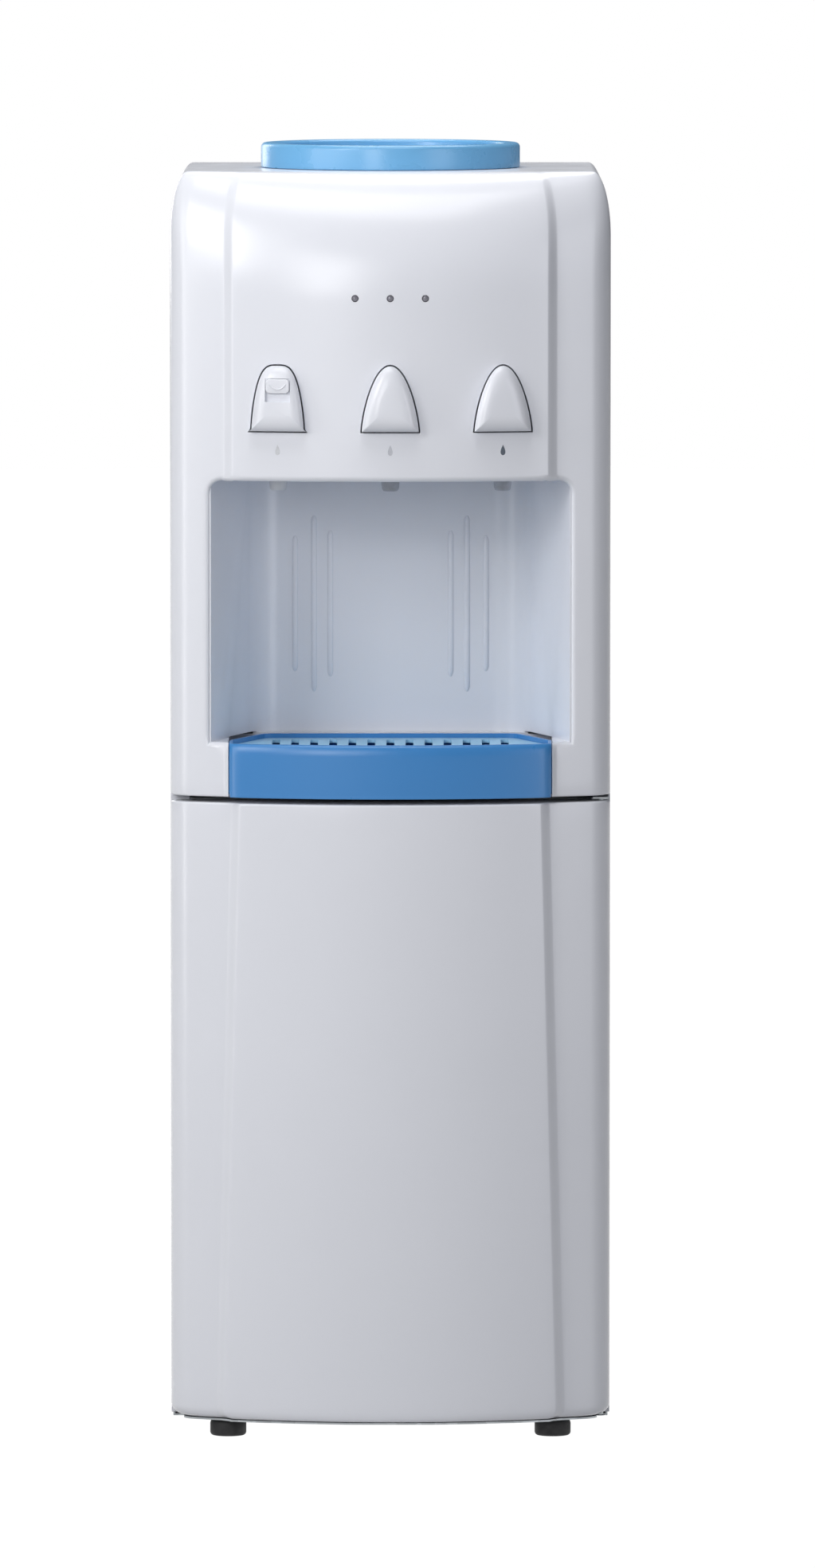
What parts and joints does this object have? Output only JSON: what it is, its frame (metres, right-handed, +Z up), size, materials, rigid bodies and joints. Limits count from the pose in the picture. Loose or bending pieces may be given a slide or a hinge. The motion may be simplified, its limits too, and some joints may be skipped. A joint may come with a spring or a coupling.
{
  "type": "water dispenser",
  "caption": "Floor-standing top-loading water dispenser with push-button taps, a dispensing recess with a drip tray, and a lower storage cabinet.",
  "frame": {"origin": "on the floor at the middle of the footprint", "axes": "+Z up, the front faces -Y, +X to the right of someone facing the front"},
  "size_m": [0.3338, 0.366, 0.98],
  "materials": {
    "white_abs": "gloss",
    "inner_abs": "satin",
    "blue_abs": "gloss",
    "pale_blue_abs": "gloss",
    "painted_steel": "satin",
    "galvanised": "satin",
    "stainless": "satin",
    "black_steel": "satin",
    "copper": "satin",
    "rubber": "matte",
    "foam": "matte",
    "silicone": "satin",
    "clear_plastic": "gloss",
    "circuit_board": "satin",
    "red_plastic": "gloss",
    "green_plastic": "gloss"
  },
  "bodies": {
    "housing": {"base_pan": "galvanised", "side_panel_left": "painted_steel", "side_panel_right": "painted_steel", "back_panel": "galvanised", "mid_panel": "galvanised", "top_cover": "white_abs", "upper_front_cover": "white_abs", "recess_liner": "white_abs", "recess_ceiling": "white_abs", "cabinet_liner": "inner_abs", "cabinet_shelf": "pale_blue_abs", "hinge_bracket_upper": "galvanised", "hinge_pin_lower": "galvanised", "door_catch": "rubber", "hot_tap": "white_abs", "ambient_tap": "white_abs", "cold_tap": "white_abs", "light_board": "circuit_board", "light_guide": "clear_plastic", "cold_tank": "stainless", "cold_tank_insulation": "foam", "evaporator_coil": "copper", "tank_shelf": "galvanised", "hot_tank": "stainless", "heater_band": "galvanised", "hot_thermostat": "rubber", "compressor": "black_steel", "condenser": "black_steel", "filter_drier": "copper", "suction_tube": "copper", "discharge_tube": "copper", "capillary_tube": "copper", "cold_tube": "silicone", "ambient_tube": "silicone", "hot_tube": "silicone", "hot_feed_tube": "silicone", "drain_pipe": "silicone", "cord_gland": "rubber", "switch_bank": "rubber", "foot_front_left": "rubber", "foot_front_right": "rubber", "foot_rear_left": "rubber", "foot_rear_right": "rubber"},
    "door": {"door_outer_shell": "white_abs", "door_inner_panel": "inner_abs", "door_gasket": "rubber"},
    "tray": {"drip_tray": "blue_abs"},
    "grille": {"drip_grille": "pale_blue_abs"},
    "bottle_seat": {"bottle_collar": "blue_abs", "feed_probe": "pale_blue_abs"},
    "hot_button": {"hot_button": "white_abs"},
    "ambient_button": {"ambient_button": "white_abs"},
    "cold_button": {"cold_button": "white_abs"},
    "child_lock": {"child_lock_slide": "white_abs"},
    "hot_plunger": {"hot_plunger": "pale_blue_abs"},
    "ambient_plunger": {"ambient_plunger": "pale_blue_abs"},
    "cold_plunger": {"cold_plunger": "pale_blue_abs"},
    "hot_switch": {"hot_switch": "red_plastic"},
    "cold_switch": {"cold_switch": "green_plastic"},
    "drain_cap": {"drain_cap": "rubber"}
  },
  "joints": [
    {"name": "door_hinge", "type": "hinge", "parent": "housing", "child": "door", "pos_m": [0.1595, -0.11651, 0.0155], "axis": [0, 0, 1], "range_deg": [0, 110]},
    {"name": "tray_slide", "type": "slide", "parent": "housing", "child": "tray", "axis": [0, -1, 0], "range_m": [0, 0.12]},
    {"name": "grille_lift", "type": "slide", "parent": "tray", "child": "grille", "axis": [0, 0, 1], "range_m": [0, 0.04]},
    {"name": "collar_lift", "type": "slide", "parent": "housing", "child": "bottle_seat", "axis": [0, 0, 1], "range_m": [0, 0.08]},
    {"name": "hot_press", "type": "hinge", "parent": "housing", "child": "hot_button", "pos_m": [-0.085, -0.15835, 0.8101], "axis": [1, 0, 0], "range_deg": [0, 5.5], "stiffness_Nm_per_rad": 1},
    {"name": "hot_plunger_slide", "type": "slide", "parent": "housing", "child": "hot_plunger", "axis": [0, 1, 0], "range_m": [0, 0.0028]},
    {"name": "ambient_press", "type": "hinge", "parent": "housing", "child": "ambient_button", "pos_m": [0, -0.168, 0.8101], "axis": [1, 0, 0], "range_deg": [0, 5.5], "stiffness_Nm_per_rad": 1},
    {"name": "ambient_plunger_slide", "type": "slide", "parent": "housing", "child": "ambient_plunger", "axis": [0, 1, 0], "range_m": [0, 0.0028]},
    {"name": "cold_press", "type": "hinge", "parent": "housing", "child": "cold_button", "pos_m": [0.085, -0.15835, 0.8101], "axis": [1, 0, 0], "range_deg": [0, 5.5], "stiffness_Nm_per_rad": 1},
    {"name": "cold_plunger_slide", "type": "slide", "parent": "housing", "child": "cold_plunger", "axis": [0, 1, 0], "range_m": [0, 0.0028]},
    {"name": "lock_slide", "type": "slide", "parent": "hot_button", "child": "child_lock", "axis": [0, 0, -1], "range_m": [0, 0.006]},
    {"name": "hot_switch_tilt", "type": "hinge", "parent": "housing", "child": "hot_switch", "pos_m": [0.09, 0.13453, 0.245], "axis": [1, 0, 0], "range_deg": [0, 22]},
    {"name": "cold_switch_tilt", "type": "hinge", "parent": "housing", "child": "cold_switch", "pos_m": [0.11, 0.13453, 0.245], "axis": [1, 0, 0], "range_deg": [0, 22]},
    {"name": "drain_cap_pull", "type": "slide", "parent": "housing", "child": "drain_cap", "axis": [0, 1, 0], "range_m": [0, 0.03]}
  ],
  "couplings": [
    {"joint": "hot_plunger_slide", "follows": "hot_press", "m_per_rad": 0.0281},
    {"joint": "ambient_plunger_slide", "follows": "ambient_press", "m_per_rad": 0.0281},
    {"joint": "cold_plunger_slide", "follows": "cold_press", "m_per_rad": 0.0281}
  ]
}
